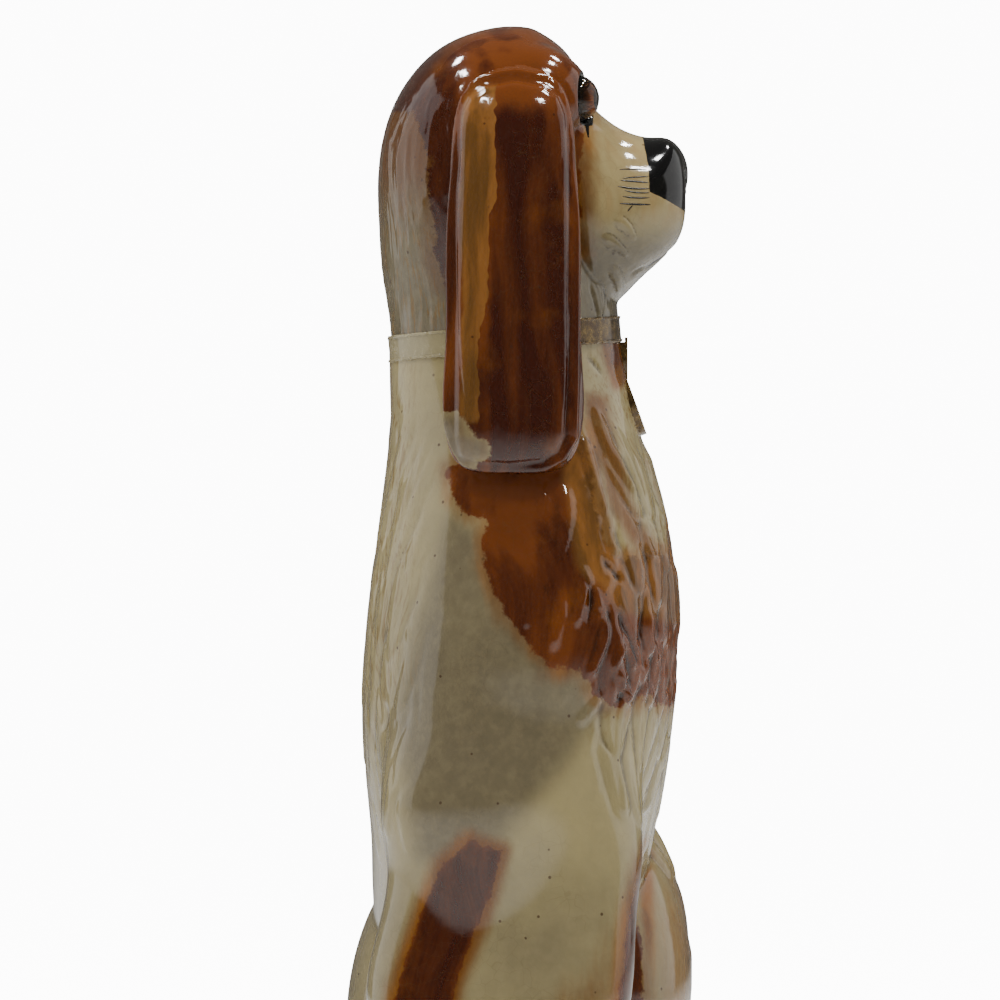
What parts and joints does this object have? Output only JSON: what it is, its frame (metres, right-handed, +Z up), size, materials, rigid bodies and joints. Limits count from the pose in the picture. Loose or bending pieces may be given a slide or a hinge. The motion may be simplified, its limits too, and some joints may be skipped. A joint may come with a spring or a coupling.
{
  "type": "seated spaniel figure",
  "caption": "Tall seated spaniel in glazed earthenware with head turned to one side, long ears, collar, locket and glass eyes; hollow ornament that stands on a flat base.",
  "frame": {"origin": "middle of the underside, on the surface that the figure stands on", "axes": "+Z up; -Y is the display side, which the face looks to; -X is the chest and forelegs, +X the rump and tail"},
  "size_m": [0.2098, 0.1066, 0.345],
  "materials": {
    "glazed_earthenware": "glossy lead glaze over russet and cream grounds",
    "gilt_band": "worn gilding over glossy glaze",
    "bare_clay": "unglazed earthenware with dust in the pores",
    "eye_glass": "polished clear glass over amber",
    "eye_pupil": "black enamel glass",
    "eye_bed": "matt plaster stained amber"
  },
  "bodies": {
    "root": {"body_front_half": "glazed_earthenware", "body_back_half": "glazed_earthenware", "head_front_half": "glazed_earthenware", "head_back_half": "glazed_earthenware", "left_ear": "glazed_earthenware", "right_ear": "glazed_earthenware", "left_foreleg": "glazed_earthenware", "right_foreleg": "glazed_earthenware", "tail": "glazed_earthenware", "collar": "gilt_band", "locket": "gilt_band", "base_slab": "bare_clay", "left_eye_glass": "eye_glass", "right_eye_glass": "eye_glass", "left_eye_pupil": "eye_pupil", "right_eye_pupil": "eye_pupil", "left_eye_bed": "eye_bed", "right_eye_bed": "eye_bed"}
  },
  "joints": []
}
